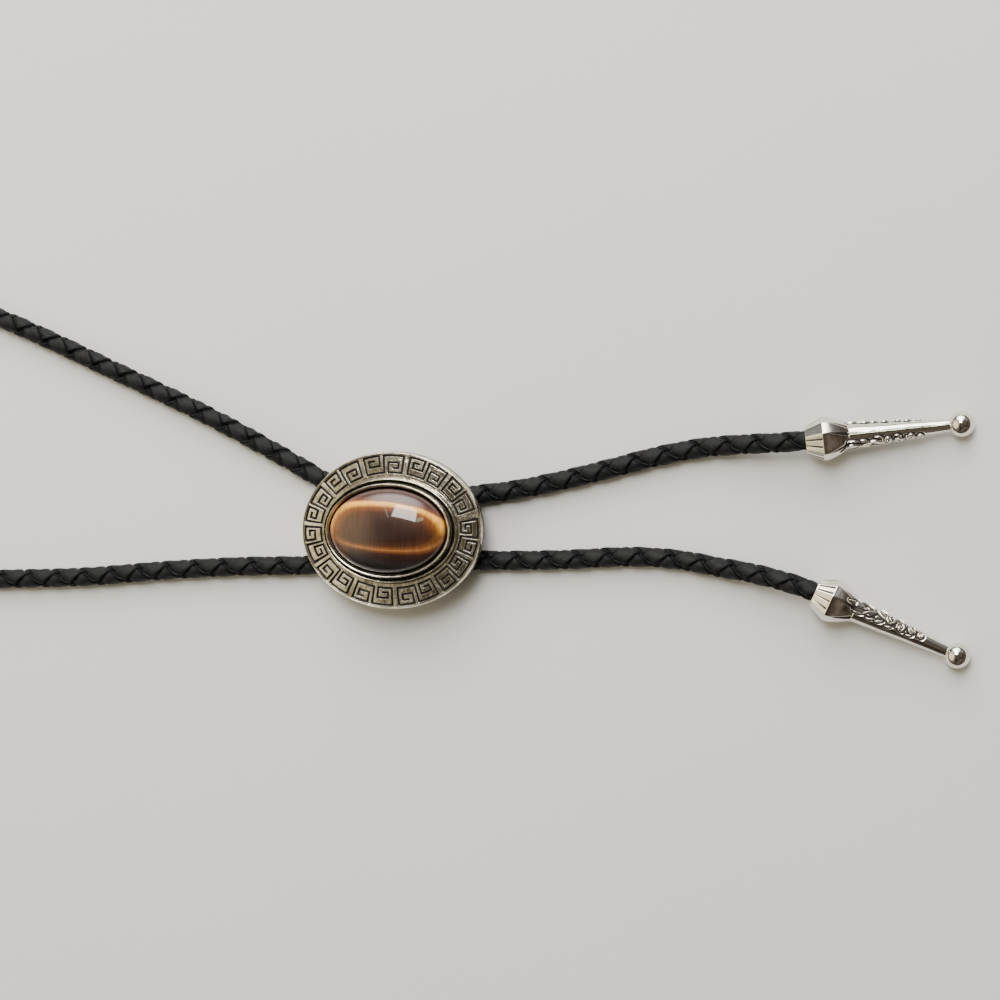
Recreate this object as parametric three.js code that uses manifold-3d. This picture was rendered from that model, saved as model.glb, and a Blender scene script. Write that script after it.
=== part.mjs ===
// Bolo tie laid flat on a table: an oval cast slide with a domed stone, a braided neck cord
// that makes one loop, and two free ends that finish in metal tips.
// Millimetres, +Z up. The origin is on the table under the centre of the slide.
// +X points from the slide to the tips, +Y to the left of the wearer's loop as it is laid.

import * as THREE from 'three';
import Module from 'manifold-3d';
import { mergeVertices } from 'three/addons/utils/BufferGeometryUtils.js';

const wasm = await Module();
wasm.setup();

// Driving dimensions

const clearance = 0.3;

// Stone
const stoneLength = 29.0;
const stoneWidth = 20.6;
const stoneGirdle = 2.8;
const stoneDome = 4.1;

// Cast plate, from the stone outwards
const bezelEnd = 2.3;
const bezelSide = 2.4;
const bezelRise = 2.7;
const ledgeEnd = 0.35;
const ledgeSide = 0.85;
const bandWidth = 4.85;
const bandSlope = THREE.MathUtils.degToRad(9);
const rimWidth = 0.72;
const rimStep = 0.25;
const rimHeight = 3.1;
const floorThickness = 2.9;
const slideSteps = 64;
const stoneSteps = 48;

// Key pattern on the band
const keyGroove = 0.5;
const keyDepth = 0.45;
const keyMargin = 0.1;
const keyPairGap = 1.4;
const keySeamGap = 2.2;
const keyPairsLower = 6;
const keyPairsUpper = 5;
const leftSeamRise = 1.3;
const rightSeamRise = 3.6;

// Clip behind the plate
const clipLength = 14.0;
const clipWall = 0.8;
const channelOffset = 7.5;

// Cord
const cordDiameter = 5.0;
const cordSides = 8;
const cordLead = 1.2;
const cordLie = 0.04;

// Tips
const tipSpan = 36.3;
const bellStation = 4.15;
const neckStation = 10.1;
const shaftEnd = 33.6;
const socketDepth = 8.5;
const mouthRadius = 3.4;
const bellRadius = 5.42;
const neckRadius = 3.0;
const shaftRadius = 1.5;
const ballRadius = 3.03;
const narrowFacet = THREE.MathUtils.degToRad(33);
const reliefHeight = 0.35;
const reliefStart = 10.8;
const reliefEnd = 27.0;
const scrollWidth = 0.6;
const scrollCount = 4;
const scrollPoints = 10;

// Where each tip lies: the centre of its mouth, its heading on the table and its roll
const tipPlaces = {
  upper_tip: { x: 100.7, y: 22.1, heading: 6.0, roll: 62 },
  lower_tip: { x: 102.9, y: -13.9, heading: -23.8, roll: -32 },
};

// Heights that follow from the sizes above

const cordRadius = cordDiameter / 2;
const channelRadius = cordRadius + clearance;
const channelHeight = clipWall + channelRadius;
const clipHeight = 2 * channelHeight;
const plateBack = clipHeight + clearance;
const rimTop = plateBack + rimHeight;
const bandOuterHeight = rimTop - rimStep;
const ledgeHeight = bandOuterHeight + bandWidth * Math.tan(bandSlope);
const bezelTop = ledgeHeight + bezelRise;
const seatFloor = plateBack + floorThickness;

// Colours and finishes

const finishes = {
  silver: new THREE.MeshStandardMaterial({ color: 0xb9b5a8, roughness: 0.35, metalness: 1.0 }),
  nickel: new THREE.MeshStandardMaterial({ color: 0xd8d6d0, roughness: 0.15, metalness: 1.0 }),
  stone: new THREE.MeshStandardMaterial({ color: 0x6b3513, roughness: 0.12, metalness: 0.0 }),
  leather: new THREE.MeshStandardMaterial({ color: 0x141417, roughness: 0.6, metalness: 0.0 }),
};

// Solids and meshes

function toSolid(geometry) {
  const bare = geometry.clone();
  bare.deleteAttribute('normal');
  bare.deleteAttribute('uv');
  const merged = mergeVertices(bare, 1e-4);
  return new wasm.Manifold(new wasm.Mesh({
    numProp: 3,
    vertProperties: new Float32Array(merged.attributes.position.array),
    triVerts: new Uint32Array(merged.index.array),
  }));
}

function toGeometry(solid) {
  const mesh = solid.getMesh();
  const geometry = new THREE.BufferGeometry();
  geometry.setAttribute('position', new THREE.BufferAttribute(mesh.vertProperties, 3));
  geometry.setIndex(new THREE.BufferAttribute(mesh.triVerts, 1));
  geometry.computeVertexNormals();
  return geometry;
}

function named(name, geometry, finish) {
  const mesh = new THREE.Mesh(geometry, finishes[finish].clone());
  mesh.name = name;
  return mesh;
}

// Lofts closed rings into one solid. Each ring is a list of points, or a single point
// where the surface closes on the axis.
function loft(rings) {
  const points = [];
  const faces = [];
  const starts = rings.map((ring) => {
    const start = points.length;
    points.push(...ring);
    return start;
  });
  for (let i = 0; i + 1 < rings.length; i += 1) {
    const inner = rings[i];
    const outer = rings[i + 1];
    const count = Math.max(inner.length, outer.length);
    for (let j = 0; j < count; j += 1) {
      const next = (j + 1) % count;
      const a = starts[i] + (inner.length > 1 ? j : 0);
      const b = starts[i] + (inner.length > 1 ? next : 0);
      const c = starts[i + 1] + (outer.length > 1 ? next : 0);
      const d = starts[i + 1] + (outer.length > 1 ? j : 0);
      if (outer.length > 1) faces.push([a, d, c]);
      if (inner.length > 1) faces.push([a, c, b]);
    }
  }
  const geometry = new THREE.BufferGeometry().setFromPoints(points);
  geometry.setIndex(faces.flat());
  geometry.computeVertexNormals();
  return geometry;
}

// Ovals of the slide, as half lengths along X and Y

const grow = (oval, end, side = end) => ({ x: oval.x + end, y: oval.y + side });
const between = (inner, outer, share) => ({
  x: inner.x + (outer.x - inner.x) * share,
  y: inner.y + (outer.y - inner.y) * share,
});

const centre = { x: 0, y: 0 };
const stoneOval = { x: stoneLength / 2, y: stoneWidth / 2 };
const seatOval = grow(stoneOval, clearance);
const bezelOval = grow(seatOval, bezelEnd, bezelSide);
const ledgeOval = grow(bezelOval, ledgeEnd, ledgeSide);
const bandOval = grow(ledgeOval, bandWidth);
const rimOval = grow(bandOval, rimWidth);

function ovalSolid(rows, steps) {
  return loft(rows.map(({ oval, height }) => {
    if (oval.x === 0) return [new THREE.Vector3(0, 0, height)];
    return Array.from({ length: steps }, (_, j) => {
      const angle = (2 * Math.PI * j) / steps;
      return new THREE.Vector3(oval.x * Math.cos(angle), oval.y * Math.sin(angle), height);
    });
  }));
}

// A ribbon of the given width along a path of 2D points, as a closed outline
function ribbonOutline(path, width) {
  const left = [];
  const right = [];
  path.forEach((point, i) => {
    const before = path[Math.max(i - 1, 0)];
    const after = path[Math.min(i + 1, path.length - 1)];
    const normalIn = new THREE.Vector2(before.y - point.y, point.x - before.x).normalize();
    const normalOut = new THREE.Vector2(point.y - after.y, after.x - point.x).normalize();
    const sum = normalIn.clone().add(normalOut).normalize();
    const facing = Math.max(sum.dot(normalOut), sum.dot(normalIn));
    const offset = sum.multiplyScalar(width / 2 / facing);
    left.push(point.clone().add(offset));
    right.push(point.clone().sub(offset));
  });
  return [...left, ...right.reverse()];
}

function prism(outline, low, high) {
  const geometry = new THREE.ExtrudeGeometry(new THREE.Shape(outline), {
    depth: high - low,
    bevelEnabled: false,
  });
  return toSolid(geometry.translate(0, 0, low));
}

// Key pattern: one pair of square spirals joined by their shared radial.
// along counts units of the pattern, across runs from the band's inner edge to its outer edge.
const keyPairChart = [
  { along: 0.5, across: 0.73 },
  { along: 0.23, across: 0.73 },
  { along: 0.23, across: 0.4 },
  { along: 0.77, across: 0.4 },
  { along: 0.77, across: 1 },
  { along: 0, across: 1 },
  { along: 0, across: 0 },
  { along: 1, across: 0 },
  { along: 1, across: 1 },
  { along: 2, across: 1 },
  { along: 2, across: 0 },
  { along: 1.23, across: 0 },
  { along: 1.23, across: 0.6 },
  { along: 1.77, across: 0.6 },
  { along: 1.77, across: 0.27 },
  { along: 1.5, across: 0.27 },
];

// The pairs are spaced evenly by their angle round the oval, as on a round border drawn out to an oval
function keyGrooves() {
  const middle = between(ledgeOval, bandOval, 0.5);
  const keyHeight = bandWidth - keyGroove - 2 * keyMargin;
  const lengthPerAngle = (angle) => Math.hypot(middle.x * Math.sin(angle), middle.y * Math.cos(angle));
  const place = (angle, across) => {
    const point = new THREE.Vector2(middle.x * Math.cos(angle), middle.y * Math.sin(angle));
    const outward = new THREE.Vector2(Math.cos(angle) / middle.x, Math.sin(angle) / middle.y).normalize();
    return point.addScaledVector(outward, (across - 0.5) * keyHeight);
  };
  const pairGap = (2 * keyPairGap) / (middle.x + middle.y);
  const seamGap = keySeamGap / middle.y;
  const leftSeam = Math.PI - leftSeamRise / middle.y;
  const rightSeam = rightSeamRise / middle.y;
  const halves = [
    { pairs: keyPairsLower, from: leftSeam + pairGap / 2, to: 2 * Math.PI + rightSeam - seamGap / 2 },
    { pairs: keyPairsUpper, from: leftSeam - pairGap / 2, to: rightSeam + seamGap / 2 },
  ];
  const grooves = [];
  for (const { pairs, from, to } of halves) {
    const direction = Math.sign(to - from);
    const unit = (Math.abs(to - from) - (pairs - 1) * pairGap) / (2 * pairs);
    for (let i = 0; i < pairs; i += 1) {
      const start = from + direction * i * (2 * unit + pairGap);
      const length = lengthPerAngle(start + direction * unit);
      const chart = keyPairChart.map(({ along, across }) => (
        new THREE.Vector2(along * unit * length, across * keyHeight)
      ));
      const outline = halveLongRuns(ribbonOutline(chart, keyGroove), unit * length * 0.8);
      const shape = outline.map(({ x, y }) => place(start + (direction * x) / length, y / keyHeight));
      grooves.push(prism(shape, plateBack, bezelTop));
    }
  }
  return grooves.reduce((all, groove) => all.add(groove));
}

function halveLongRuns(outline, longest) {
  return outline.flatMap((point, i) => {
    const next = outline[(i + 1) % outline.length];
    if (Math.abs(next.x - point.x) < longest) return [point];
    return [point, point.clone().lerp(next, 0.5)];
  });
}

// Cast plate with bezel, ledge, key band and rim in one piece

function slidePlate() {
  const rows = [
    { oval: centre, height: seatFloor },
    { oval: seatOval, height: seatFloor },
    { oval: seatOval, height: ledgeHeight + 0.6 * bezelRise },
    { oval: between(seatOval, bezelOval, 0.3), height: bezelTop },
    { oval: between(seatOval, bezelOval, 0.56), height: ledgeHeight + 0.1 * bezelRise },
    { oval: between(seatOval, bezelOval, 0.84), height: ledgeHeight + 0.45 * bezelRise },
    { oval: bezelOval, height: ledgeHeight },
    { oval: ledgeOval, height: ledgeHeight },
    { oval: bandOval, height: bandOuterHeight },
    { oval: between(bandOval, rimOval, 0.3), height: rimTop },
    { oval: between(bandOval, rimOval, 0.75), height: rimTop - 0.15 * rimHeight },
    { oval: rimOval, height: plateBack + 0.45 * rimHeight },
    { oval: rimOval, height: plateBack + 0.25 * rimHeight },
    { oval: between(bandOval, rimOval, 0.3), height: plateBack },
    { oval: centre, height: plateBack },
  ];
  const plate = toSolid(ovalSolid(rows, slideSteps));
  const lowered = plate.translate([0, 0, -keyDepth]);
  return toGeometry(plate.subtract(keyGrooves().subtract(lowered)));
}

// Stone: flat back, upright girdle and a low dome

function stone() {
  const low = seatFloor + clearance;
  const girdleTop = low + stoneGirdle;
  const rows = [
    { oval: centre, height: low + stoneGirdle + stoneDome },
    ...[0.2, 0.38, 0.55, 0.7, 0.83, 0.93].map((share) => ({
      oval: between(centre, stoneOval, share),
      height: girdleTop + stoneDome * Math.pow(1 - Math.pow(share, 2.2), 0.55),
    })),
    { oval: stoneOval, height: girdleTop },
    { oval: stoneOval, height: low + 0.2 * stoneGirdle },
    { oval: between(centre, stoneOval, 0.96), height: low },
    { oval: centre, height: low },
  ];
  return ovalSolid(rows, stoneSteps);
}

// Clip: a flat-sided band with one channel for each run of the cord

function backClip() {
  const outline = new THREE.Shape();
  outline.moveTo(-channelOffset, 0);
  outline.lineTo(channelOffset, 0);
  outline.absarc(channelOffset, channelHeight, channelHeight, -Math.PI / 2, Math.PI / 2, false);
  outline.lineTo(-channelOffset, clipHeight);
  outline.absarc(-channelOffset, channelHeight, channelHeight, Math.PI / 2, 1.5 * Math.PI, false);
  for (const side of [-1, 1]) {
    const channel = new THREE.Path();
    channel.absarc(side * channelOffset, channelHeight, channelRadius, 0, 2 * Math.PI, true);
    outline.holes.push(channel);
  }
  const geometry = new THREE.ExtrudeGeometry(outline, {
    depth: clipLength,
    bevelEnabled: false,
    curveSegments: 14,
  });
  geometry.translate(0, 0, -clipLength / 2);
  geometry.rotateX(Math.PI / 2);
  geometry.rotateZ(Math.PI / 2);
  return geometry;
}

// Tips. Stations run from the mouth along the tip; facet 1 is an eight-sided section with
// wide and narrow facets by turns, facet 0 a round one.

function tipRing(station, radius, facet) {
  const half = narrowFacet / 2;
  const wideHalf = Math.PI / 4 - half;
  return Array.from({ length: 16 }, (_, j) => {
    const quarter = Math.floor(j / 4) * (Math.PI / 2);
    const step = j % 4;
    const angle = quarter + [0, half, Math.PI / 4, Math.PI / 2 - half][step];
    const flat = [Math.cos(half), 1, Math.cos(wideHalf), 1][step];
    const reach = radius * THREE.MathUtils.lerp(1, flat, facet);
    return new THREE.Vector3(station, reach * Math.sin(angle), reach * Math.cos(angle));
  });
}

function tipBody() {
  const bellToNeck = neckStation - bellStation;
  const neckToEnd = shaftEnd - neckStation;
  const ballFrom = Math.asin(shaftRadius / ballRadius);
  const rows = [
    { station: socketDepth, radius: channelRadius, facet: 0 },
    { station: 0, radius: channelRadius, facet: 0 },
    { station: 0, radius: mouthRadius, facet: 1 },
    { station: bellStation, radius: bellRadius, facet: 1 },
    { station: bellStation + 0.35 * bellToNeck, radius: 0.92 * bellRadius, facet: 1 },
    { station: bellStation + 0.7 * bellToNeck, radius: 0.76 * bellRadius, facet: 1 },
    { station: neckStation, radius: neckRadius, facet: 0.5 },
    { station: neckStation + 0.08 * neckToEnd, radius: 0.97 * neckRadius, facet: 0 },
    { station: neckStation + 0.5 * neckToEnd, radius: 0.78 * neckRadius, facet: 0 },
    { station: tipSpan - ballRadius * Math.cos(ballFrom), radius: shaftRadius, facet: 0 },
    ...[0.3, 0.5, 0.7, 0.87].map((share) => {
      const angle = ballFrom + (Math.PI - ballFrom) * share;
      return {
        station: tipSpan - ballRadius * Math.cos(angle),
        radius: ballRadius * Math.sin(angle),
        facet: 0,
      };
    }),
  ];
  const rings = rows.map(({ station, radius, facet }) => tipRing(station, radius, facet));
  const floor = [new THREE.Vector3(socketDepth, 0, 0)];
  const end = [new THREE.Vector3(tipSpan + ballRadius, 0, 0)];
  return toSolid(loft([floor, ...rings, end]));
}

// Raised scrolls on two opposite sides of the shaft: curls that turn left and right by turns,
// each rolled in from the stem.

function scrollPath(index, pitch) {
  const side = index % 2 === 0 ? 1 : -1;
  const centreAt = reliefStart + (index + 0.5) * pitch;
  return Array.from({ length: scrollPoints }, (_, i) => {
    const share = i / (scrollPoints - 1);
    const angle = side * (-0.9 * Math.PI + share * 2.3 * Math.PI);
    const radius = pitch * (0.62 - 0.42 * share);
    return new THREE.Vector2(centreAt + radius * Math.cos(angle), radius * Math.sin(angle));
  });
}

function tipRelief() {
  const pitch = (reliefEnd - reliefStart) / scrollCount;
  const shell = tipRing(reliefStart, neckRadius + reliefHeight, 0);
  const shellEnd = tipRing(reliefEnd, 0.72 * neckRadius + reliefHeight, 0);
  const shellSolid = toSolid(loft([
    [new THREE.Vector3(reliefStart, 0, 0)],
    shell,
    shellEnd,
    [new THREE.Vector3(reliefEnd, 0, 0)],
  ]));
  const curls = Array.from({ length: scrollCount }, (_, i) => (
    prism(ribbonOutline(scrollPath(i, pitch), scrollWidth), -bellRadius, bellRadius)
  ));
  return shellSolid.intersect(curls.reduce((all, curl) => all.add(curl)));
}

// Heights of a tip's axis: its bell and its ball both touch the table
const tipTilt = Math.asin((bellRadius - ballRadius) / (tipSpan - bellStation));
const mouthHeight = bellRadius + bellStation * Math.sin(tipTilt);

function tipPoint(place, station) {
  const heading = THREE.MathUtils.degToRad(place.heading);
  const flat = station * Math.cos(tipTilt);
  return new THREE.Vector3(
    place.x + flat * Math.cos(heading),
    place.y + flat * Math.sin(heading),
    mouthHeight - station * Math.sin(tipTilt),
  );
}

function tip(name, geometry) {
  const place = tipPlaces[name];
  const mesh = named(name, geometry, 'nickel');
  mesh.position.copy(tipPoint(place, 0));
  mesh.rotation.order = 'ZYX';
  mesh.rotation.set(
    THREE.MathUtils.degToRad(place.roll),
    tipTilt,
    THREE.MathUtils.degToRad(place.heading),
  );
  return mesh;
}

// Cord routes. The points between the clip and the tips are chosen by hand: x and y on the
// table, and the lift of the cord above lying flat.

const neckPoints = [
  [-14.0, 9.0, 0.5],
  [-21.2, 12.9, 0.1],
  [-30.6, 18.1, 0],
  [-42.1, 24.2, 0],
  [-53.8, 30.0, 0],
  [-65.4, 35.3, 0],
  [-77.2, 40.6, 0],
  [-92.0, 47.3, 0],
  [-107.2, 53.7, 0],
  [-127.0, 61.0, 0],
  [-147.0, 67.2, 0],
  [-167.0, 72.4, 0],
  [-187.0, 76.8, 0],
  [-207.0, 80.4, 0],
  [-226.0, 83.1, 0],
  [-243.0, 84.0, 0],
  [-258.0, 82.0, 0],
  [-271.5, 77.0, 0],
  [-283.0, 69.0, 0],
  [-292.0, 58.5, 0],
  [-297.5, 46.0, 0],
  [-299.2, 32.5, 0],
  [-297.0, 19.0, 0],
  [-291.0, 6.5, 0],
  [-281.5, -3.7, 0],
  [-269.5, -11.2, 0],
  [-255.5, -15.8, 0],
  [-240.0, -17.8, 0],
  [-222.0, -18.2, 0],
  [-200.0, -17.8, 0],
  [-177.0, -16.9, 0],
  [-154.0, -15.8, 0],
  [-131.0, -14.8, 0],
  [-107.6, -13.9, 0],
  [-84.2, -13.0, 0],
  [-61.2, -11.0, 0],
  [-42.0, -9.8, 0],
  [-25.0, -9.3, 0.1],
  [-15.5, -8.2, 0.5],
];

const upperTailPoints = [
  [14.5, 8.0, 0.5],
  [21.5, 8.9, 0.1],
  [30.5, 10.1, 0],
  [41.2, 12.3, 0],
  [52.6, 15.1, 0],
  [63.8, 18.0, 0],
  [75.0, 20.2, 0.2],
  [85.0, 21.1, 1.4],
  [94.0, 21.5, 3.0],
];

const lowerTailPoints = [
  [14.5, -7.5, 0.5],
  [21.5, -7.5, 0.1],
  [31.0, -7.4, 0],
  [43.1, -7.0, 0],
  [54.0, -6.3, 0],
  [62.5, -6.2, 0],
  [71.0, -6.9, 0],
  [79.7, -8.4, 0.4],
  [88.0, -9.7, 1.5],
  [96.6, -11.7, 3.0],
];

const lying = ([x, y, lift]) => new THREE.Vector3(x, y, cordRadius + cordLie + lift);
const inClip = (x, side) => new THREE.Vector3(x, side * channelOffset, channelHeight);

// A smooth curve whose steps fall on its own points, so that a short stretch keeps its place
class RouteCurve extends THREE.CatmullRomCurve3 {
  getPointAt(share, target) {
    return this.getPoint(share, target);
  }

  getTangentAt(share, target) {
    return this.getTangent(share, target);
  }
}

function cord(points) {
  const section = new THREE.Shape();
  for (let i = 0; i < cordSides; i += 1) {
    const angle = (2 * Math.PI * i) / cordSides;
    const x = cordRadius * Math.cos(angle);
    const y = cordRadius * Math.sin(angle);
    if (i === 0) section.moveTo(x, y);
    else section.lineTo(x, y);
  }
  section.closePath();
  return new THREE.ExtrudeGeometry(section, {
    steps: points.length - 1,
    extrudePath: new RouteCurve(points, false, 'catmullrom', 0.5),
    bevelEnabled: false,
  });
}

const leadOut = clipLength / 2 + cordLead;

function neckRoute() {
  return [
    inClip(-clearance / 2, 1),
    inClip(-leadOut, 1),
    ...neckPoints.map(lying),
    inClip(-leadOut, -1),
    inClip(-clearance / 2, -1),
  ];
}

function tailRoute(points, side, place) {
  return [
    inClip(clearance / 2, side),
    inClip(leadOut, side),
    ...points.map(lying),
    tipPoint(place, -cordLead),
    tipPoint(place, socketDepth - clearance),
  ];
}

// Assembly

const boloTie = new THREE.Group();
boloTie.add(named('slide_plate', slidePlate(), 'silver'));
boloTie.add(named('stone', stone(), 'stone'));
boloTie.add(named('back_clip', backClip(), 'silver'));
boloTie.add(named('neck_cord', cord(neckRoute()), 'leather'));
const upperTail = tailRoute(upperTailPoints, 1, tipPlaces.upper_tip);
boloTie.add(named('upper_tail_cord', cord(upperTail), 'leather'));
const lowerTail = tailRoute(lowerTailPoints, -1, tipPlaces.lower_tip);
boloTie.add(named('lower_tail_cord', cord(lowerTail), 'leather'));

const tipGeometry = toGeometry(tipBody().add(tipRelief()));
boloTie.add(tip('upper_tip', tipGeometry));
boloTie.add(tip('lower_tip', tipGeometry.clone()));

export default boloTie;
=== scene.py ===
"""Bolo tie laid on a table: cast oval slide with a banded stone, braided cord and two metal tips."""

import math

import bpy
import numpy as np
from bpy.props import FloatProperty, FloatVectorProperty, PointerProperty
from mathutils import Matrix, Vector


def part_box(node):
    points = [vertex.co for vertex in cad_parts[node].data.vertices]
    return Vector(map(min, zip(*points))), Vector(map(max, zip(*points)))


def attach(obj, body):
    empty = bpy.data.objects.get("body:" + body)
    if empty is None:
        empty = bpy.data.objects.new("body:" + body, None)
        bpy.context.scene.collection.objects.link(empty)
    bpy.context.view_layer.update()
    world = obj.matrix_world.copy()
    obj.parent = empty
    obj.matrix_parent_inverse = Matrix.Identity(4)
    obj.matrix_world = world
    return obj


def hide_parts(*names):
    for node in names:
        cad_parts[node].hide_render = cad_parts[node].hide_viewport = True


bl_info = {
    "name": "Bolo tie",
    "version": (1, 0, 0),
    "blender": (4, 5, 0),
    "location": "3D View > Sidebar > Bolo tie",
    "description": "Dresses the packed bolo tie with its cast relief, stone, braid and stage",
    "category": "Object",
}

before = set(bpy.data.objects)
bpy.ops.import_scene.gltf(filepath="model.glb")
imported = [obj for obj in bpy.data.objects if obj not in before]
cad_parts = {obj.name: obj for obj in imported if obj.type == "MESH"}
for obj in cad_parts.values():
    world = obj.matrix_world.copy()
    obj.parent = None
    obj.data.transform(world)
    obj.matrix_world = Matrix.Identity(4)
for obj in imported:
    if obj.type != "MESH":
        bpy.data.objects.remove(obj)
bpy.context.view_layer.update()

MM = 0.001
TURN = 2 * math.pi


def span(node, axis):
    """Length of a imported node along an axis, in metres."""
    low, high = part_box(node)
    return high[axis] - low[axis]


# Properties


def length_property(name, description, size):
    """A length whose default is given in millimetres."""
    return FloatProperty(name=name, description=description, default=size * MM, unit="LENGTH")


def colour_property(name, description, colour):
    return FloatVectorProperty(
        name=name, description=description, default=colour, subtype="COLOR", min=0, max=1)


class SlideSizes(bpy.types.PropertyGroup):
    bezel_end: length_property("Bezel at the ends", "Width of the double ring at the slide's ends", 2.3)
    bezel_side: length_property(
        "Bezel at the sides", "Width of the double ring above and below the stone", 2.4)
    bezel_rise: length_property("Bezel rise", "Height of the inner ring over the ledge", 3.08)
    band_width: length_property("Key band", "Width of the sloped band with the key pattern", 4.85)
    band_slope: FloatProperty(
        name="Band slope", description="Fall of the band towards the rim",
        default=math.radians(4.5), subtype="ANGLE")
    rim_width: length_property("Rim", "Width of the rounded outer rim", 0.72)
    rim_height: length_property("Rim height", "Height of the rim over the back of the plate", 3.1)
    floor: length_property("Floor", "Thickness of the plate under the stone", 2.9)
    key_groove: length_property("Key groove", "Width of the black lines of the key pattern", 0.5)
    key_depth: length_property("Key depth", "Depth of the key pattern's grooves", 0.55)
    pair_gap: length_property(
        "Rib between pairs", "Distance between the last line of a pair and the next pair", 1.4)
    seam_gap: length_property(
        "Wide rib", "The same distance at the plain place at the right of the band", 2.2)


class StoneSizes(bpy.types.PropertyGroup):
    dome: length_property("Dome", "Height of the stone's dome over its girdle", 4.1)
    # The golden bands placed by these sizes are painted sheen
    band_reach: length_property(
        "Band reach", "Half length of the ring that the two golden bands make", 15.0)
    upper_band: length_property(
        "Upper band", "Distance of the upper golden band from the stone's middle", 7.0)
    lower_band: length_property(
        "Lower band", "Distance of the lower golden band from the stone's middle", 4.6)


class CordSizes(bpy.types.PropertyGroup):
    diameter: length_property("Cord", "Diameter of the round braid", 5.0)
    lay: length_property("Lay", "Length in which a strand goes once round the cord", 15.2)
    lace_width: length_property("Lace width", "Width of one flat leather strand", 4.25)
    lace_thickness: length_property("Lace thickness", "Thickness of one flat leather strand", 0.95)


class TipSizes(bpy.types.PropertyGroup):
    span: length_property("Mouth to ball", "Distance from the mouth to the centre of the ball", 36.3)
    bell: length_property("Bell", "Radius over the corners at the widest place", 5.42)
    bell_station: length_property("Bell place", "Distance from the mouth to the widest place", 4.15)
    mouth: length_property("Mouth", "Outer radius at the mouth", 3.4)
    neck: length_property("Neck", "Radius where the facets end", 3.0)
    neck_station: length_property("Neck place", "Distance from the mouth to the neck", 10.1)
    shaft: length_property("Shaft end", "Radius of the shaft at the ball", 1.5)
    ball: length_property("Ball", "Radius of the ball end", 3.03)
    relief: length_property("Relief", "Height of the raised scrolls", 0.50)


class Colours(bpy.types.PropertyGroup):
    silver: colour_property("Antique silver", "Bare metal of the slide", (0.93, 0.87, 0.71))
    patina: colour_property("Patina", "Black in the recesses of the slide", (0.010, 0.009, 0.007))
    nickel: colour_property("Nickel silver", "Polished metal of the tips", (0.83, 0.79, 0.71))
    leather: colour_property("Black leather", "The braided lace", (0.0028, 0.0031, 0.0036))
    # Painted sheen: the golden bands are the stone's chatoyant glow, put into its colour
    golden_sheen: colour_property("Stone, golden band", "The silky bands of the stone", (1.0, 0.47, 0.060))
    brown: colour_property("Stone, brown", "The stone between the bands", (0.021, 0.0075, 0.0050))
    # Painted sheen: the greyish reflection along the stone's upper edge, put into its colour
    edge_sheen: colour_property("Stone, edge", "The greyish edge of the stone", (0.075, 0.034, 0.028))
    table: colour_property("Table", "The pale table", (0.86, 0.865, 0.86))


class BoloTieSettings(bpy.types.PropertyGroup):
    slide: PointerProperty(type=SlideSizes)
    stone: PointerProperty(type=StoneSizes)
    cord: PointerProperty(type=CordSizes)
    tip: PointerProperty(type=TipSizes)
    colours: PointerProperty(type=Colours)


def settings():
    return bpy.context.scene.bolo_tie


# Meshes


def new_object(name, points, faces, material):
    """A mesh object at the origin whose points are in metres in the shared frame."""
    mesh = bpy.data.meshes.new(name)
    mesh.from_pydata(np.asarray(points, float).tolist(), [], faces)
    mesh.validate()
    mesh.shade_smooth()
    obj = bpy.data.objects.new(name, mesh)
    bpy.context.scene.collection.objects.link(obj)
    obj.data.materials.append(material)
    return obj


def point_attribute(obj, name, values):
    attribute = obj.data.attributes.new(name, "FLOAT", "POINT")
    attribute.data.foreach_set("value", np.asarray(values, np.float32))


def grid_faces(rows, columns, first=0):
    """Quads of a grid of rows that each close on themselves."""
    row, column = np.meshgrid(np.arange(rows - 1), np.arange(columns), indexing="ij")
    after = (column + 1) % columns
    here = first + row * columns
    beyond = here + columns
    quads = np.stack([here + column, beyond + column, beyond + after, here + after], axis=-1)
    return quads.reshape(-1, 4).tolist()


def closed_grid(grid):
    """Points and faces of a closed body from a grid of rings, with a middle point at each end."""
    rows, columns = grid.shape[:2]
    points = np.vstack([grid.reshape(-1, 3), grid[0].mean(axis=0), grid[-1].mean(axis=0)])
    faces = grid_faces(rows, columns)
    start, end = rows * columns, rows * columns + 1
    last = (rows - 1) * columns
    for j in range(columns):
        after = (j + 1) % columns
        faces.append([start, j, after])
        faces.append([last + j, end, last + after])
    return points, faces


# Slide


def grow(oval, end, side=None):
    return np.array([oval[0] + end, oval[1] + (end if side is None else side)])


def slide_ovals():
    """Half lengths along X and Y of the ovals that bound the zones of the plate, from the rim inwards."""
    sizes = settings().slide
    rim = np.array([span("slide_plate", 0), span("slide_plate", 1)]) / 2
    band = grow(rim, -sizes.rim_width)
    ledge = grow(band, -sizes.band_width)
    stone = np.array([span("stone", 0), span("stone", 1)]) / 2
    seat = grow(stone, CLEARANCE)
    bezel = grow(seat, sizes.bezel_end, sizes.bezel_side)
    return {"rim": rim, "band": band, "ledge": ledge, "bezel": bezel, "seat": seat}


def slide_heights():
    sizes = settings().slide
    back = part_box("slide_plate")[0][2]
    rim = back + sizes.rim_height
    band = rim - RIM_STEP
    ledge = band + sizes.band_width * math.tan(sizes.band_slope)
    return {"back": back, "band": band, "ledge": ledge, "floor": back + sizes.floor}


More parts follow.
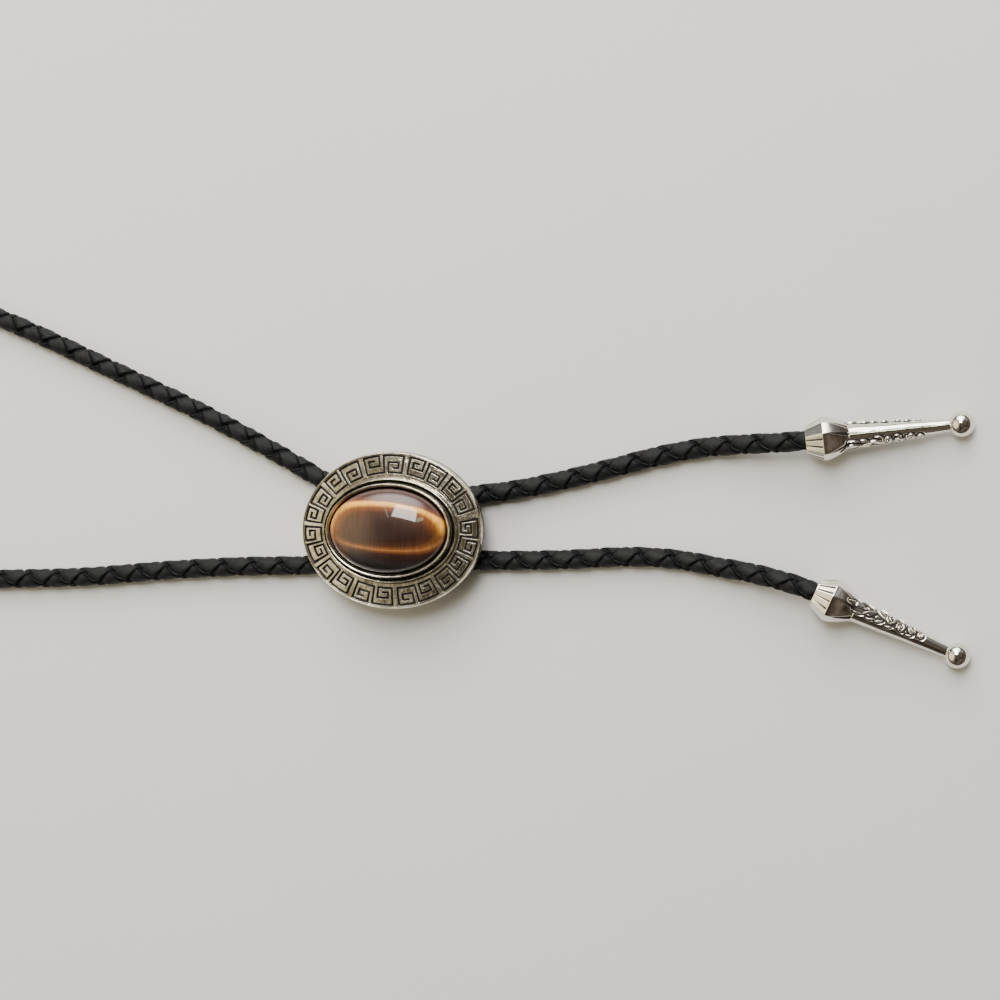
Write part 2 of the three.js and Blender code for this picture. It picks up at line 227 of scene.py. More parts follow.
# One pair of square spirals joined by their shared radial line.
# Columns: units along the band, share across it from its inner to its outer edge.
KEY_PAIR = (
    (0.5, 0.73), (0.23, 0.73), (0.23, 0.4), (0.77, 0.4), (0.77, 1.0), (0.0, 1.0), (0.0, 0.0), (1.0, 0.0),
    (1.0, 1.0), (2.0, 1.0), (2.0, 0.0), (1.23, 0.0), (1.23, 0.6), (1.77, 0.6), (1.77, 0.27), (1.5, 0.27),
)
PAIRS_LOWER = 6
PAIRS_UPPER = 5
LEFT_SEAM_RISE = 1.3 * MM
RIGHT_SEAM_RISE = 3.6 * MM
CLEARANCE = 0.3 * MM
RIM_STEP = 0.25 * MM
KEY_MARGIN = 0.1 * MM
EDGE_PATINA = 0.30 * MM
EDGE_SHADE = 0.60
BAND_CROWN = 0.03 * MM
GROOVE_WALL = 0.06 * MM
GROOVE_EASE = 0.05 * MM


def lines_around(centres, half):
    """Grid lines that follow both edges of the grooves with these centres."""
    offsets = np.array([half + GROOVE_WALL + GROOVE_EASE, half + GROOVE_WALL, half - GROOVE_WALL])
    lines = (np.asarray(centres)[:, None] + np.concatenate([-offsets, offsets])[None, :]).ravel()
    return np.unique(np.round(np.sort(lines), 8))


def groove_distance(along, across, path):
    """Distance to the nearest line of a path of straight lines along the two axes."""
    nearest = np.full(along.shape, 1.0)
    for (x0, y0), (x1, y1) in zip(path[:-1], path[1:]):
        dx = np.maximum(np.maximum(min(x0, x1) - along, along - max(x0, x1)), 0)
        dy = np.maximum(np.maximum(min(y0, y1) - across, across - max(y0, y1)), 0)
        nearest = np.minimum(nearest, np.maximum(dx, dy))
    return nearest


def band_columns(middle):
    """Columns of the plate's grid: angle on the middle oval, the way along a key pair, and its unit length.

    The pairs are spaced evenly by their angle, as on a round border that was drawn out to an oval."""
    sizes = settings().slide
    gap = 2 * sizes.pair_gap / (middle[0] + middle[1])
    seam = sizes.seam_gap / middle[1]
    left_seam = math.pi - LEFT_SEAM_RISE / middle[1]
    right_seam = RIGHT_SEAM_RISE / middle[1]
    halves = (
        (PAIRS_LOWER, left_seam + gap / 2, TURN + right_seam - seam / 2),
        (PAIRS_UPPER, left_seam - gap / 2, right_seam + seam / 2),
    )
    places = np.array(sorted({along for along, _ in KEY_PAIR}))
    columns = []
    for pairs, begin, end in halves:
        direction = math.copysign(1, end - begin)
        unit = (abs(end - begin) - (pairs - 1) * gap) / (2 * pairs)
        for i in range(pairs):
            start = begin + direction * i * (2 * unit + gap)
            centre = start + direction * unit
            per_angle = math.hypot(middle[0] * math.sin(centre), middle[1] * math.cos(centre))
            for local in lines_around(places * unit * per_angle, sizes.key_groove / 2):
                columns.append(((start + direction * local / per_angle) % TURN, local, unit * per_angle))
    columns.sort()
    return tuple(np.array(values) for values in zip(*columns))


def ray_to_oval(point, normal, oval):
    """Signed way along the normals from points to an oval."""
    p = point / oval
    n = normal / oval
    a = (n * n).sum(axis=1)
    b = (p * n).sum(axis=1)
    c = (p * p).sum(axis=1) - 1
    return (-b + np.sqrt(np.maximum(b * b - a * c, 0))) / a


# Profiles across the plate, from the inside outwards. Columns: share of the zone's width,
# height as a share of the bezel's rise over the ledge or of the rim's height, patina.
BEZEL_PROFILE = (
    (0.00, 0.60, 1.0), (0.06, 0.74, 0.7), (0.13, 0.90, 0.2), (0.20, 0.97, 0.0), (0.30, 1.00, 0.0),
    (0.37, 0.96, 0.0), (0.43, 0.74, 0.2), (0.49, 0.30, 0.9), (0.56, 0.10, 1.0), (0.62, 0.15, 0.9),
    (0.68, 0.30, 0.25), (0.76, 0.42, 0.0), (0.84, 0.45, 0.0), (0.91, 0.38, 0.05), (0.97, 0.18, 0.5),
    (1.00, 0.02, 0.9),
)
RIM_PROFILE = (
    (0.04, 0.900, 0.9), (0.13, 0.915, 0.5), (0.25, 0.985, 0.0), (0.37, 1.00, 0.0), (0.52, 0.98, 0.0),
    (0.68, 0.92, 0.0), (0.82, 0.82, 0.1), (0.93, 0.69, 0.45), (0.985, 0.57, 0.6), (1.00, 0.45, 0.65),
    (1.00, 0.25, 0.7), (0.95, 0.11, 0.7), (0.80, 0.03, 0.5), (0.55, 0.00, 0.3), (0.30, 0.00, 0.3),
)


def plate_rows():
    """Rows of the plate from the middle of the seat over the top to the middle of the back:
    inner oval, outer oval, share between them, height, patina, and the share across the key band or -1."""
    sizes = settings().slide
    z = slide_heights()
    rows = [("seat", "seat", 1, z["floor"], 1.0, -1)]
    for s, height, dark in smooth_route(np.array(BEZEL_PROFILE), 3):
        rows.append(("seat", "bezel", s, z["ledge"] + sizes.bezel_rise * height, min(1, max(0, dark)), -1))
    for s, dark in ((0.15, 0.5), (0.35, 0.05), (0.6, 0.0), (0.85, 0.0)):
        rows.append(("bezel", "ledge", s, z["ledge"], dark, -1))
    key_height = sizes.band_width - sizes.key_groove - 2 * KEY_MARGIN
    margin = (sizes.band_width - key_height) / 2
    places = sorted({across for _, across in KEY_PAIR})
    lines = lines_around(np.array(places) * key_height, sizes.key_groove / 2)
    inside = lines[(lines > -margin) & (lines < key_height + margin)]
    for line in (-margin, *inside, key_height + margin):
        s = (line + margin) / sizes.band_width
        height = z["ledge"] + (z["band"] - z["ledge"]) * s + BAND_CROWN * math.sin(math.pi * s)
        rows.append(("ledge", "band", s, height, 0.0, line))
    for s, height, dark in smooth_route(np.array(RIM_PROFILE), 3):
        rows.append(("band", "rim", s, z["back"] + sizes.rim_height * height, min(1, max(0, dark)), -1))
    rows.append(("seat", "ledge", 0.5, z["back"], 0.3, -1))
    return rows


def plate_points():
    sizes = settings().slide
    ovals = slide_ovals()
    middle = (ovals["ledge"] + ovals["band"]) / 2
    angle, local, units = band_columns(middle)
    on_middle = np.stack([np.cos(angle), np.sin(angle)], axis=1) * middle
    normal = np.stack([np.cos(angle), np.sin(angle)], axis=1) / middle
    normal /= np.linalg.norm(normal, axis=1)[:, None]
    reach = {name: ray_to_oval(on_middle, normal, oval) for name, oval in ovals.items()}
    key_height = sizes.band_width - sizes.key_groove - 2 * KEY_MARGIN
    half = sizes.key_groove / 2
    grid = []
    patina = []
    for inner, outer, share, height, dark, line in plate_rows():
        way = reach[inner] + (reach[outer] - reach[inner]) * share
        flat = on_middle + normal * way[:, None]
        heights = np.full(len(angle), height)
        darks = np.full(len(angle), dark)
        if line != -1:
            distance = np.empty(len(angle))
            for unit in np.unique(units):
                chosen = units == unit
                path = [(along * unit, across * key_height) for along, across in KEY_PAIR]
                distance[chosen] = groove_distance(local[chosen], np.full(chosen.sum(), line), path)
            sunk = np.clip((half + GROOVE_WALL - distance) / (2 * GROOVE_WALL), 0, 1)
            heights = heights - sizes.key_depth * sunk
            darks = np.maximum(darks, sunk)
            darks = np.maximum(darks, EDGE_SHADE * np.clip(1 - (distance - half) / EDGE_PATINA, 0, 1))
        grid.append(np.column_stack([flat, heights]))
        patina.append(darks)
    return np.array(grid), np.concatenate(patina)


# Stone

# Powers of the dome's section, where 2 and 0.5 would make a half ellipse
DOME_POWER = 2.2
DOME_ROOT = 0.55


def stone_points(columns=160):
    low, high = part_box("stone")
    half = np.array([span("stone", 0), span("stone", 1)]) / 2
    dome = settings().stone.dome
    girdle = high[2] - dome
    shares = np.sin(np.linspace(0.01, math.pi / 2, 56))
    rows = [(s, girdle + dome * (1 - s**DOME_POWER) ** DOME_ROOT) for s in shares]
    rows += [(1.0, girdle - (girdle - low[2]) * t) for t in (0.3, 0.6, 0.85)]
    rows += [(0.985, low[2] + 0.1 * MM), (0.96, low[2]), (0.3, low[2])]
    angle = np.linspace(0, TURN, columns, endpoint=False)
    ring = np.stack([half[0] * np.cos(angle), half[1] * np.sin(angle)], axis=1)
    return np.array([np.column_stack([ring * s, np.full(columns, z)]) for s, z in rows])


# Cord. The points of the routes are in millimetres: x and y on the table, and the lift of the
# cord above lying flat.

NECK_POINTS = (
    (-14.0, 9.0, 0.5), (-21.2, 12.9, 0.1), (-30.6, 18.1, 0), (-42.1, 24.2, 0), (-53.8, 30.0, 0),
    (-65.4, 35.3, 0), (-77.2, 40.6, 0), (-92.0, 47.3, 0), (-107.2, 53.7, 0), (-127.0, 61.0, 0),
    (-147.0, 67.2, 0), (-167.0, 72.4, 0), (-187.0, 76.8, 0), (-207.0, 80.4, 0), (-226.0, 83.1, 0),
    (-243.0, 84.0, 0), (-258.0, 82.0, 0), (-271.5, 77.0, 0), (-283.0, 69.0, 0), (-292.0, 58.5, 0),
    (-297.5, 46.0, 0), (-299.2, 32.5, 0), (-297.0, 19.0, 0), (-291.0, 6.5, 0), (-281.5, -3.7, 0),
    (-269.5, -11.2, 0), (-255.5, -15.8, 0), (-240.0, -17.8, 0), (-222.0, -18.2, 0), (-200.0, -17.8, 0),
    (-177.0, -16.9, 0), (-154.0, -15.8, 0), (-131.0, -14.8, 0), (-107.6, -13.9, 0), (-84.2, -13.0, 0),
    (-61.2, -11.0, 0), (-42.0, -9.8, 0), (-25.0, -9.3, 0.1), (-15.5, -8.2, 0.5),
)
UPPER_TAIL_POINTS = (
    (14.5, 8.0, 0.5), (21.5, 8.9, 0.1), (30.5, 10.1, 0), (41.2, 12.3, 0), (52.6, 15.1, 0),
    (63.8, 18.0, 0), (75.0, 20.2, 0.2), (85.0, 21.1, 1.4), (94.0, 21.5, 3.0),
)
LOWER_TAIL_POINTS = (
    (14.5, -7.5, 0.5), (21.5, -7.5, 0.1), (31.0, -7.4, 0), (43.1, -7.0, 0), (54.0, -6.3, 0),
    (62.5, -6.2, 0), (71.0, -6.9, 0), (79.7, -8.4, 0.4), (88.0, -9.7, 1.5), (96.6, -11.7, 3.0),
)
# Where each tip lies: x and y of its mouth in millimetres, heading and roll in degrees
TIP_PLACES = {"upper_tip": (100.7, 22.1, 6.0, 62.0), "lower_tip": (102.9, -13.9, -23.8, -32.0)}
# How each braid is turned about its cord: distances from the cord's start in metres, and the
# turns there in radians
NECK_FACING = ((0.0, 0.05, 0.12, 0.6, 0.67), (0.40, 0.10, -0.42, 1.02, 1.22))
UPPER_TAIL_FACING = ((0, 0.12), (1.2, 1.2))
LOWER_TAIL_FACING = ((0, 0.12), (1.2, 1.0))
CORD_LIE = 0.04
CHANNEL_OFFSET = 7.5
CHANNEL_HEIGHT = 3.6
LEAD_OUT = 8.2
MEETING_GAP = 0.15
SOCKET_REACH = 8.2
MOUTH_LEAD = 1.2


def tip_tilt():
    sizes = settings().tip
    return math.asin((sizes.bell - sizes.ball) / (sizes.span - sizes.bell_station))


def tip_matrix(name):
    """Places a tip whose axis is X and whose relief looks along Z, with its bell and ball on the table."""
    sizes = settings().tip
    x, y, heading, roll = TIP_PLACES[name]
    height = sizes.bell + sizes.bell_station * math.sin(tip_tilt())
    turn = (
        Matrix.Rotation(math.radians(heading), 4, "Z")
        @ Matrix.Rotation(tip_tilt(), 4, "Y")
        @ Matrix.Rotation(math.radians(roll), 4, "X")
    )
    return Matrix.Translation((x * MM, y * MM, height)) @ turn


def in_clip(x, side):
    return (x, side * CHANNEL_OFFSET, CHANNEL_HEIGHT)


def lying(points):
    radius = settings().cord.diameter / 2 / MM
    return [(x, y, radius + CORD_LIE + lift) for x, y, lift in points]


def neck_route():
    ends = [in_clip(-MEETING_GAP, 1), in_clip(-LEAD_OUT, 1)]
    back = [in_clip(-LEAD_OUT, -1), in_clip(-MEETING_GAP, -1)]
    return np.array([*ends, *lying(NECK_POINTS), *back]) * MM


def tail_route(points, side, tip):
    ends = [in_clip(MEETING_GAP, side), in_clip(LEAD_OUT, side)]
    into = [tip_matrix(tip) @ Vector((s * MM, 0, 0)) for s in (-MOUTH_LEAD, SOCKET_REACH)]
    return np.array([*ends, *lying(points), *[tuple(p / MM) for p in into]]) * MM


def smooth_route(points, per_span=24):
    """Catmull-Rom curve through the points, as close points."""
    ends = np.vstack([2 * points[0] - points[1], points, 2 * points[-1] - points[-2]])
    t = (np.arange(per_span) / per_span)[:, None]
    parts = []
    for a, b, c, d in zip(ends[:-3], ends[1:-2], ends[2:-1], ends[3:]):
        parts.append(0.5 * (2 * b + (c - a) * t + (2 * a - 5 * b + 4 * c - d) * t**2
                            + (3 * b - a - 3 * c + d) * t**3))
    return np.vstack([*parts, points[-1:]])


class Centreline:
    """A cord's smooth line, with its length, its direction, and its upward and sideways axes."""

    def __init__(self, points):
        self.points = smooth_route(points)
        steps = np.linalg.norm(np.diff(self.points, axis=0), axis=1)
        self.length_at = np.concatenate([[0], np.cumsum(steps)])
        self.length = self.length_at[-1]
        ahead = np.gradient(self.points, self.length_at, axis=0)
        ahead /= np.linalg.norm(ahead, axis=1)[:, None]
        side = np.cross(ahead, (0.0, 0.0, 1.0))
        side /= np.linalg.norm(side, axis=1)[:, None]
        self.side = side
        self.up = np.cross(side, ahead)
        self.ahead = ahead

    def at(self, values, along):
        flat = along.ravel()
        return np.stack([np.interp(flat, self.length_at, values[:, k]) for k in range(3)], axis=1)

    def around(self, along, angle, reach):
        """Points at an arc length, an angle from straight up and a distance from the line."""
        inside = np.clip(along, 0, self.length)
        past = (along - inside).ravel()[:, None]
        centre = self.at(self.points, inside) + self.at(self.ahead, inside) * past
        up = self.at(self.up, inside)
        side = self.at(self.side, inside)
        turn = angle.ravel()[:, None]
        way = up * np.cos(turn) + side * np.sin(turn)
        return (centre + way * reach.ravel()[:, None]).reshape(*along.shape, 3)


STRAND_STEP = 0.62 * MM
SECTION_POINTS = 14
WEAVE = 0.40 * MM
WEAVE_STEEPNESS = 3.0
CORE_RADIUS = 1.3 * MM
CORE_STEP = 2 * MM
# Share of the cord's radius at which a lace runs
LACE_TRACK = 0.8


def signed_power(value, power):
    return np.sign(value) * np.abs(value) ** power


def lace(line, hand, phase, facing):
    """One flat strand of the braid: its rings of points, and how near each point is to the strand's edge."""
    sizes = settings().cord
    outer = sizes.diameter / 2
    track = outer * LACE_TRACK
    pitch = math.atan2(TURN * track, sizes.lay)
    margin = sizes.lace_width / 2 * math.sin(pitch)
    count = int(line.length / STRAND_STEP)
    station = np.linspace(margin, line.length - margin, count)[:, None]
    around = np.linspace(0, TURN, SECTION_POINTS, endpoint=False)[None, :]
    across = sizes.lace_width / 2 * signed_power(np.cos(around), 0.5)
    edge = np.abs(across) / (sizes.lace_width / 2)
    thick = sizes.lace_thickness / 2 * signed_power(np.sin(around), 0.4) * (1 - 0.25 * edge**8)
    weave = np.cos(2 * TURN * station / sizes.lay)
    weave = hand * np.tanh(WEAVE_STEEPNESS * weave) / math.tanh(WEAVE_STEEPNESS)
    middle = outer - sizes.lace_thickness / 2 - WEAVE
    reach = middle + WEAVE * weave + thick
    along = station - hand * across * math.sin(pitch)
    twist = np.interp(along, *facing)
    angle = hand * TURN * station / sizes.lay + phase + twist + across * math.cos(pitch) / track
    rings = line.around(along, angle, reach)
    edge = np.broadcast_to(edge, along.shape)
    across = np.broadcast_to(across, along.shape)
    station = np.broadcast_to(station, along.shape)
    return rings, edge, np.stack([station, across, np.full(along.shape, phase + hand)], axis=-1)


def braid(name, route, material, facing):
    """Four laces round a thin core, as one object. facing is a table of arc lengths and turns."""
    line = Centreline(route)
    parts = []
    edges = []
    places = []
    for hand in (1, -1):
        for phase in (0, math.pi):
            rings, edge, place = lace(line, hand, phase, facing)
            parts.append(closed_grid(rings))
            edges.append(np.concatenate([edge.ravel(), [0, 0]]))
            places.append(np.vstack([place.reshape(-1, 3), np.zeros((2, 3))]))
    stations = np.linspace(0, line.length, int(line.length / CORE_STEP))[:, None]
    turns = np.linspace(TURN, 0, 10, endpoint=False)[None, :]
    shape = (stations.size, turns.size)
    reach = np.full(shape, CORE_RADIUS)
    core = line.around(np.broadcast_to(stations, shape), np.broadcast_to(turns, shape), reach)
    parts.append(closed_grid(core))
    edges.append(np.zeros(len(parts[-1][0])))
    places.append(np.zeros((len(parts[-1][0]), 3)))
    points = []
    faces = []
    for part_points, part_faces in parts:
        first = sum(len(p) for p in points)
        points.append(part_points)
        faces.extend([[first + v for v in face] for face in part_faces])
    obj = new_object(name, np.vstack(points), faces, material)
    point_attribute(obj, "edge", np.concatenate(edges))
    place = obj.data.attributes.new("lace_place", "FLOAT_VECTOR", "POINT")
    place.data.foreach_set("vector", np.concatenate(places).astype(np.float32).ravel())
    return obj, line


# Tips

NARROW_FACET = math.radians(33)


def facet_radius(angle, facet):
    """Share of the corner radius at an angle from a narrow facet, for a section that is facet parts
    eight-sided and the rest round."""
    narrow = NARROW_FACET / 2
    wide = math.pi / 4 - narrow
    sides = np.arange(8) * math.pi / 4
    flats = np.where(np.arange(8) % 2 == 0, math.cos(narrow), math.cos(wide))
    facing = np.maximum(np.cos(angle[..., None] - sides) / flats, 0)
    polygon = (facing**90).sum(axis=-1) ** (-1 / 90)
    return 1 + (np.minimum(polygon, 1.0) - 1) * facet


def facet_share(angle):
    """How far an angle is from the middle of its facet, as a share of the way to the facet's edge."""
    narrow = NARROW_FACET / 2
    wide = math.pi / 4 - narrow
    off = np.abs((angle + math.pi / 4) % (math.pi / 2) - math.pi / 4)
    return np.where(off < narrow, off / narrow, (math.pi / 4 - off) / wide)


def tip_profile():
    """Stations and radii of the tip's outer surface, with how much of it is faceted."""
    sizes = settings().tip
    rows = [(s * sizes.bell_station, sizes.mouth + (sizes.bell - sizes.mouth) * s, 1.0)
            for s in (0.0, 0.02, 0.05, 0.1, *np.linspace(0.15, 0.95, 24), 0.985)]
    for x in (0.0, 0.015, 0.03, *np.linspace(0.06, 1, 44)):
        station = sizes.bell_station + (sizes.neck_station - sizes.bell_station) * x
        radius = sizes.neck + (sizes.bell - sizes.neck) * (1 - x**TAPER_POWER)
        rows.append((station, radius, 1.0))
    ball_from = math.asin(sizes.shaft / sizes.ball)
    shaft_end = sizes.span - sizes.ball * math.cos(ball_from)
    root = NECK_STEP * sizes.neck
    for x in np.linspace(0.006, 1, 236):
        station = sizes.neck_station + (shaft_end - sizes.neck_station) * x
        rows.append((station, root + (sizes.shaft - root) * x**SHAFT_POWER, 0.0))
    for share in np.linspace(0.02, 0.985, 40):
        turn = ball_from + (math.pi - ball_from) * share
        rows.append((sizes.span - sizes.ball * math.cos(turn), sizes.ball * math.sin(turn), 0.0))
    return np.array(rows)


# The shaft starts a little thinner than the end of the facets
NECK_STEP = 0.95
# Powers of the curves of the taper and the shaft, where 1 is straight
TAPER_POWER = 1.7
SHAFT_POWER = 0.92
# Share of the relief's height that is left on the taper
TAPER_RELIEF = 0.45
# The facets of the taper end in points at the neck, with dark gaps between them
PETAL_POINT = 0.45
PETAL_DEPTH = 0.16 * MM
PETAL_EASE = 0.16
PETAL_FROM = 0.3
GROUND_DEPTH = 0.14 * MM
GROUND_REACH = 0.62 * MM
GROUND_EASE = 0.4 * MM
STROKE_EASE = 0.15 * MM
COLLAR_MARGIN = 0.3 * MM
# Flutes of the collar: degrees from the middle of the relief
FLUTE_ANGLES = (-58, -34, -9, 9, 34, 58)
FLUTE_WIDTH = 0.34 * MM
FLUTE_DEPTH = 0.22 * MM
FLUTE_EASE = 0.08 * MM
BORE_RADIUS = 2.8 * MM
BORE_MOUTH = 2.9 * MM
BORE_CHAMFER = 0.3 * MM

# Leaves of the relief. Columns in millimetres: where the leaf starts and ends along the tip,
# and its place across the relief at both ends; last its greatest width.
LEAVES = (
    (8.2, 12.6, 0.0, 0.1, 1.15),
    (9.6, 12.4, 1.55, 1.15, 0.5),
    (9.6, 12.4, -1.55, -1.15, 0.5),
    (12.3, 15.4, -0.9, 0.45, 1.05),
    (12.7, 14.6, 1.5, 0.75, 0.6),
    (13.2, 15.3, -1.75, -1.1, 0.5),
    (15.1, 18.0, 0.85, -0.35, 1.0),
    (15.3, 17.2, -1.5, -0.8, 0.6),
    (16.0, 18.0, 1.75, 1.1, 0.5),
    (18.0, 19.6, -1.55, -1.0, 0.5),
    (20.6, 22.2, 1.4, 0.9, 0.5),
    (23.2, 24.8, -1.3, -0.8, 0.45),
)
# Scrolls. Columns: centre along the tip and across it in millimetres, outer radius in millimetres,
# turns, side, and the angle where it starts in turns.
SCROLLS = (
    (18.9, 0.45, 1.15, 1.35, 1, 0.45),
    (21.6, -0.45, 1.1, 1.35, -1, 0.45),
    (24.3, 0.40, 1.0, 1.35, 1, 0.45),
    (26.6, -0.15, 0.75, 1.2, -1, 0.40),
)
SCROLL_STROKE = 0.46 * MM


def relief_shapes():
    """Strokes of the raised relief: points along the tip and across it, with their widths."""
    strokes = []
    for begin, end, across_begin, across_end, width in LEAVES:
        t = np.linspace(0, 1, 9)
        bow = 0.18 * np.sin(math.pi * t) * np.sign(across_begin + 0.01)
        strokes.append(np.stack([
            begin + (end - begin) * t,
            across_begin + (across_end - across_begin) * t + bow,
            width * np.sin(math.pi * np.clip(t, 0.06, 0.94)) ** 0.8,
        ], axis=1) * MM)
    for along, across, radius, turns, side, start in SCROLLS:
        t = np.linspace(0, 1, 26)
        turn = side * TURN * (start + turns * t)
        reach = radius * (1 - 0.78 * t)
        width = np.full(t.shape, SCROLL_STROKE / MM) * (0.75 + 0.5 * np.sin(math.pi * t))
        strokes.append(np.stack([
            along + reach * np.cos(turn), across + reach * np.sin(turn), width], axis=1) * MM)
    return strokes


def relief_distance(along, across):
    """Distance to the edge of the nearest stroke of the relief, below zero inside it."""
    nearest = np.full(along.shape, 1.0)
    for stroke in relief_shapes():
        for (x0, y0, w0), (x1, y1, w1) in zip(stroke[:-1], stroke[1:]):
            dx, dy = x1 - x0, y1 - y0
            t = np.clip(((along - x0) * dx + (across - y0) * dy) / (dx * dx + dy * dy), 0, 1)
            gap = np.hypot(along - x0 - t * dx, across - y0 - t * dy) - (w0 + (w1 - w0) * t) / 2
            nearest = np.minimum(nearest, gap)
    return nearest


def eased(values):
    """Smooth step from 0 to 1 of values that run from 0 to 1."""
    values = np.clip(values, 0, 1)
    return values * values * (3 - 2 * values)


def tip_points(columns=240):
    """Rings of a tip along X with its relief looking along Z and away from it, and the recess attribute."""
    sizes = settings().tip
    profile = tip_profile()
    angle = np.linspace(0, TURN, columns, endpoint=False)
    station = np.repeat(profile[:, 0:1], columns, axis=1)
    turn = np.broadcast_to(angle[None, :], station.shape)
    radius = profile[:, 1:2] * facet_radius(turn, profile[:, 2:3])
    from_relief = (turn + math.pi / 2) % math.pi - math.pi / 2
    distance = relief_distance(station, radius * from_relief)
    raised = eased(0.5 - distance / (2 * STROKE_EASE))
    ground = eased((GROUND_REACH - distance) / GROUND_EASE)
    on_taper = np.where(station < sizes.neck_station, TAPER_RELIEF, 1.0)
    radius = radius + sizes.relief * raised * on_taper - GROUND_DEPTH * ground * (1 - raised)
    recess = ground * (1 - raised)
    way = (station - sizes.bell_station) / (sizes.neck_station - sizes.bell_station)
    petal = 1 - PETAL_POINT * np.clip(way, 0, 1) ** 2
    gap = eased((facet_share(turn) - petal) / PETAL_EASE + 0.5) * ((way > PETAL_FROM) & (way < 1.0))
    radius = radius - PETAL_DEPTH * gap
    recess = np.maximum(recess, gap)
    start = COLLAR_MARGIN
    end = sizes.bell_station - COLLAR_MARGIN
    collar = (station > start) & (station < end)
    widening = 0.6 + 0.6 * np.clip((station - start) / (end - start), 0, 1)
    for degrees in FLUTE_ANGLES:
        off = np.abs(from_relief - math.radians(degrees)) * radius
        cut = eased((FLUTE_WIDTH / 2 * widening - off) / FLUTE_EASE + 0.5) * collar
        radius = radius - FLUTE_DEPTH * cut
        recess = np.maximum(recess, cut)
    grid = np.stack([station, radius * np.sin(turn), radius * np.cos(turn)], axis=-1)
    bore = [(SOCKET_REACH * MM + CLEARANCE, BORE_RADIUS), (BORE_CHAMFER, BORE_RADIUS), (0.0, BORE_MOUTH)]
    inside = np.array([
        np.stack([np.full(columns, s), r * np.sin(angle), r * np.cos(angle)], axis=-1) for s, r in bore])
    recess = np.vstack([np.ones((len(bore), columns)), recess])
    return np.concatenate([inside, grid]), recess.ravel()


# Materials


class Nodes:
    """Short ways to add nodes to one material."""

    def __init__(self, name):
        self.material = bpy.data.materials.new(name)
        self.material.use_nodes = True
        self.tree = self.material.node_tree
        self.shader = self.tree.nodes["Principled BSDF"]

    def add(self, kind, **values):
        node = self.tree.nodes.new(kind)
        for name, value in values.items():
            setattr(node, name, value)
        return node

    def link(self, source, target):
        self.tree.links.new(source, target)

    def set(self, **values):
        for name, value in values.items():
            self.shader.inputs[name.replace("_", " ")].default_value = value

    def place(self):
        return self.add("ShaderNodeTexCoord").outputs["Object"]

    def noise(self, scale, detail=4.0, vector=None, roughness=0.55):
        node = self.add("ShaderNodeTexNoise")
        node.inputs["Scale"].default_value = scale
        node.inputs["Detail"].default_value = detail
        node.inputs["Roughness"].default_value = roughness
        self.link(vector or self.place(), node.inputs["Vector"])
        return node.outputs["Fac"]

    def stretched(self, scale):
        node = self.add("ShaderNodeMapping")
        node.inputs["Scale"].default_value = scale
        self.link(self.place(), node.inputs["Vector"])
        return node.outputs["Vector"]

    def ramp(self, source, stops):
        node = self.add("ShaderNodeValToRGB")
        while len(node.color_ramp.elements) < len(stops):
            node.color_ramp.elements.new(0.5)
        for element, (position, colour) in zip(node.color_ramp.elements, stops):
            element.position = position
            element.color = (*colour, 1.0) if hasattr(colour, "__len__") else (colour, colour, colour, 1.0)
        self.link(source, node.inputs["Fac"])
        return node.outputs["Color"]

    def math(self, operation, a, b=None, c=None, clamp=False):
        node = self.add("ShaderNodeMath", operation=operation, use_clamp=clamp)
        for socket, value in zip(node.inputs, (a, b, c)):
            if isinstance(value, (int, float)):
                socket.default_value = value
            elif value is not None:
                self.link(value, socket)
        return node.outputs["Value"]

    def mix(self, factor, a, b, blend="MIX"):
        node = self.add("ShaderNodeMix", data_type="RGBA", blend_type=blend)
        for socket, value in ((node.inputs[0], factor), (node.inputs[6], a), (node.inputs[7], b)):
            if isinstance(value, (int, float)):
                socket.default_value = value
            elif hasattr(value, "__len__"):
                socket.default_value = (*value[:3], 1.0)
            else:
                self.link(value, socket)
        return node.outputs[2]

    def attribute(self, name):
        return self.add("ShaderNodeAttribute", attribute_name=name).outputs["Fac"]

    def bump(self, height, strength, distance):
        node = self.add("ShaderNodeBump")
        node.inputs["Strength"].default_value = strength
        node.inputs["Distance"].default_value = distance
        self.link(height, node.inputs["Height"])
        self.link(node.outputs["Normal"], self.shader.inputs["Normal"])


def antique_silver():
    """Cast metal, rubbed bright on top, with black left in its recesses."""
    colours = settings().colours
    n = Nodes("antique_silver")
    mottle = n.noise(1300, 6, None, 0.75)
    cloud = n.noise(210, 4, None, 0.6)
    tarnish = n.ramp(cloud, [(0.38, 0.0), (0.66, 1.0)])
    bare = n.mix(tarnish, tuple(colours.silver), (0.42, 0.375, 0.28))
    speck = n.ramp(mottle, [(0.33, 1.0), (0.43, 0.0)])
    recess = n.attribute("patina")
    ragged = n.math("ADD", recess, n.math("MULTIPLY", n.math("SUBTRACT", mottle, 0.5), 0.9))
    dark = n.ramp(ragged, [(0.36, 0.0), (0.66, 1.0)])
    dark = n.math("MAXIMUM", dark, n.math("MULTIPLY", speck, 0.7))
    n.link(n.mix(dark, bare, tuple(colours.patina)), n.shader.inputs["Base Color"])
    n.link(n.math("SUBTRACT", 1.0, dark), n.shader.inputs["Metallic"])
    uneven = n.noise(620, 2, None, 0.5)
    rough = n.math("MULTIPLY_ADD", cloud, 0.14, 0.03)
    n.link(n.math("ADD", rough, n.math("MULTIPLY", dark, 0.35)), n.shader.inputs["Roughness"])
    n.set(Specular_IOR_Level=0.25)
    n.bump(n.math("MULTIPLY_ADD", mottle, 0.07, uneven), 0.6, 0.00014)
    return n.material


